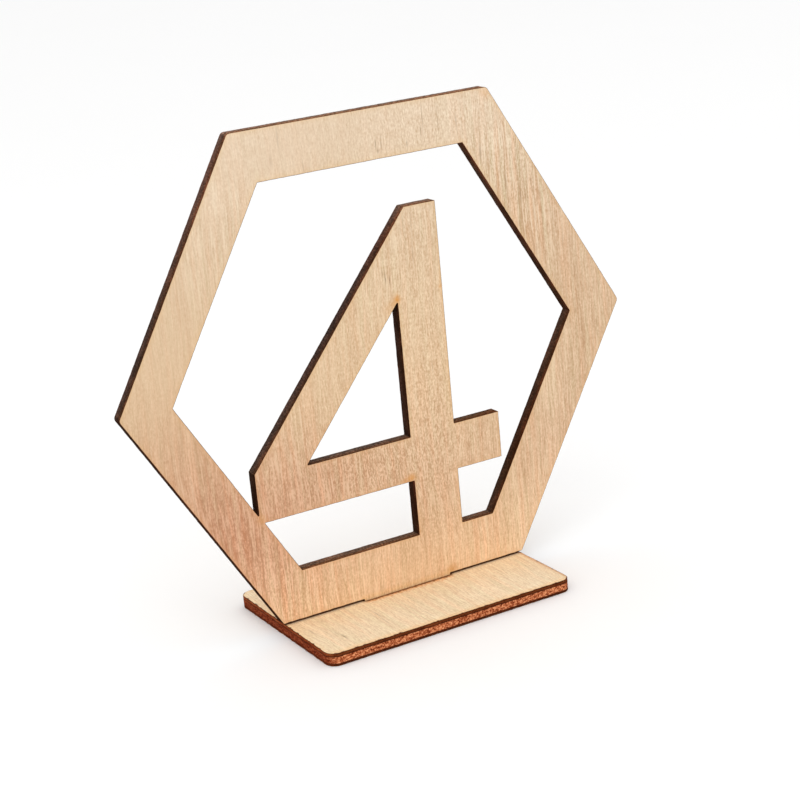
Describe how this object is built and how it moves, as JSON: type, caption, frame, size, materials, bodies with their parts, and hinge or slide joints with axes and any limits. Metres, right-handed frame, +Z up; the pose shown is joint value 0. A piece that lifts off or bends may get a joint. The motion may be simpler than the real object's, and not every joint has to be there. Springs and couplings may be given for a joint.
{
  "type": "table number holder",
  "caption": "Free-standing table number: a hexagonal plywood ring holding a cut-out numeral, pushed by its tab into a slotted flat base.",
  "frame": {"origin": "centre of the base's underside, on the upright panel's middle plane", "axes": "+X along the panel to the right of a reader facing the numeral, +Y away from that reader, +Z up"},
  "size_m": [0.1196, 0.0424, 0.1072],
  "materials": {
    "panel_face_veneer": "satin",
    "base_face_veneer": "satin",
    "panel_core_ply": "matte",
    "base_core_ply": "matte",
    "glue_line": "matte"
  },
  "bodies": {
    "base": {"base_top_veneer": "base_face_veneer", "base_upper_glue_line": "glue_line", "base_core_ply": "base_core_ply", "base_lower_glue_line": "glue_line", "base_bottom_veneer": "base_face_veneer"},
    "panel": {"panel_front_veneer": "panel_face_veneer", "panel_front_glue_line": "glue_line", "panel_core_ply": "panel_core_ply", "panel_back_glue_line": "glue_line", "panel_back_veneer": "panel_face_veneer"}
  },
  "joints": [
    {"name": "panel_lift", "type": "slide", "parent": "base", "child": "panel", "axis": [0, 0, 1], "range_m": [0, 0.02]}
  ]
}
